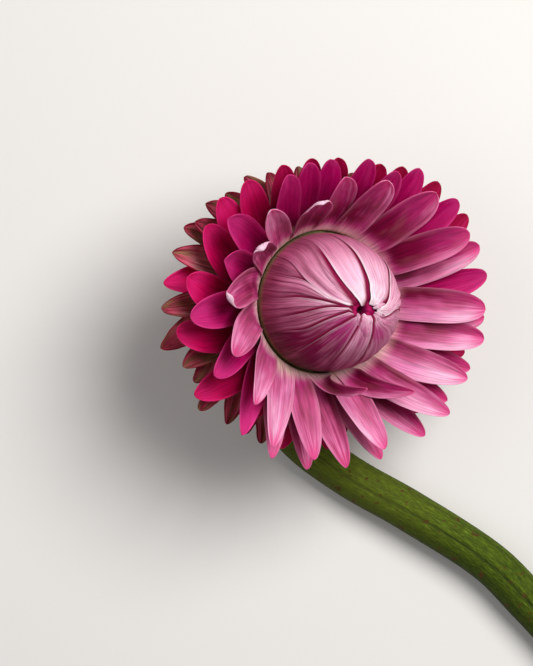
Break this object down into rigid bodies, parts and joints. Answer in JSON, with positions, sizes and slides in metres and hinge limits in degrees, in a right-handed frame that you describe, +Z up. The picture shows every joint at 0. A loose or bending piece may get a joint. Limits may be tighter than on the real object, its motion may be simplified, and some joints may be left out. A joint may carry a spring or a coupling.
{
  "type": "dried strawflower",
  "caption": "Cut strawflower lying down: a half-open head of overlapping papery pink bracts round a closed bud, on a bent green stem.",
  "frame": {"origin": "on the table, under the middle of the whole flower's box", "axes": "+Z up from the table the flower lies on, +X towards the cut end's side, -Y the way the stem runs from the head; seen from above the half-open head faces up and leans towards +X"},
  "size_m": [0.0882, 0.089, 0.0369],
  "materials": {
    "stem": "ribbed green stalk with fine hairs and brown specks",
    "receptacle": "matt dry green-beige",
    "bud": "silky papery pale pink with darker mauve sides",
    "inner_bract": "silky papery pale pink with a magenta streak",
    "middle_bract": "silky papery magenta with pale edges",
    "outer_bract": "dry crinkled brownish pink"
  },
  "bodies": {
    "root": {"stem": "stem", "receptacle": "receptacle", "bud": "bud", "inner_bract_01": "inner_bract", "inner_bract_02": "inner_bract", "inner_bract_03": "inner_bract", "inner_bract_04": "inner_bract", "inner_bract_05": "inner_bract", "inner_bract_06": "inner_bract", "inner_bract_07": "inner_bract", "inner_bract_08": "inner_bract", "inner_bract_09": "inner_bract", "inner_bract_10": "inner_bract", "inner_bract_11": "inner_bract", "inner_bract_12": "inner_bract", "inner_bract_13": "inner_bract", "inner_bract_14": "inner_bract", "inner_bract_15": "inner_bract", "inner_bract_16": "inner_bract", "inner_bract_17": "inner_bract", "inner_bract_18": "inner_bract", "middle_bract_01": "middle_bract", "middle_bract_02": "middle_bract", "middle_bract_03": "middle_bract", "middle_bract_04": "middle_bract", "middle_bract_05": "middle_bract", "middle_bract_06": "middle_bract", "middle_bract_07": "middle_bract", "middle_bract_08": "middle_bract", "middle_bract_09": "middle_bract", "middle_bract_10": "middle_bract", "middle_bract_11": "middle_bract", "middle_bract_12": "middle_bract", "middle_bract_13": "middle_bract", "middle_bract_14": "middle_bract", "middle_bract_15": "middle_bract", "middle_bract_16": "middle_bract", "middle_bract_17": "middle_bract", "middle_bract_18": "middle_bract", "middle_bract_19": "middle_bract", "middle_bract_20": "middle_bract", "middle_bract_21": "middle_bract", "middle_bract_22": "middle_bract", "outer_bract_01": "outer_bract", "outer_bract_02": "outer_bract", "outer_bract_03": "outer_bract", "outer_bract_04": "outer_bract", "outer_bract_05": "outer_bract", "outer_bract_06": "outer_bract", "outer_bract_07": "outer_bract", "outer_bract_08": "outer_bract", "outer_bract_09": "outer_bract", "outer_bract_10": "outer_bract", "outer_bract_11": "outer_bract", "outer_bract_12": "outer_bract", "outer_bract_13": "outer_bract", "outer_bract_14": "outer_bract", "outer_bract_15": "outer_bract", "outer_bract_16": "outer_bract", "outer_bract_17": "outer_bract"}
  },
  "joints": []
}
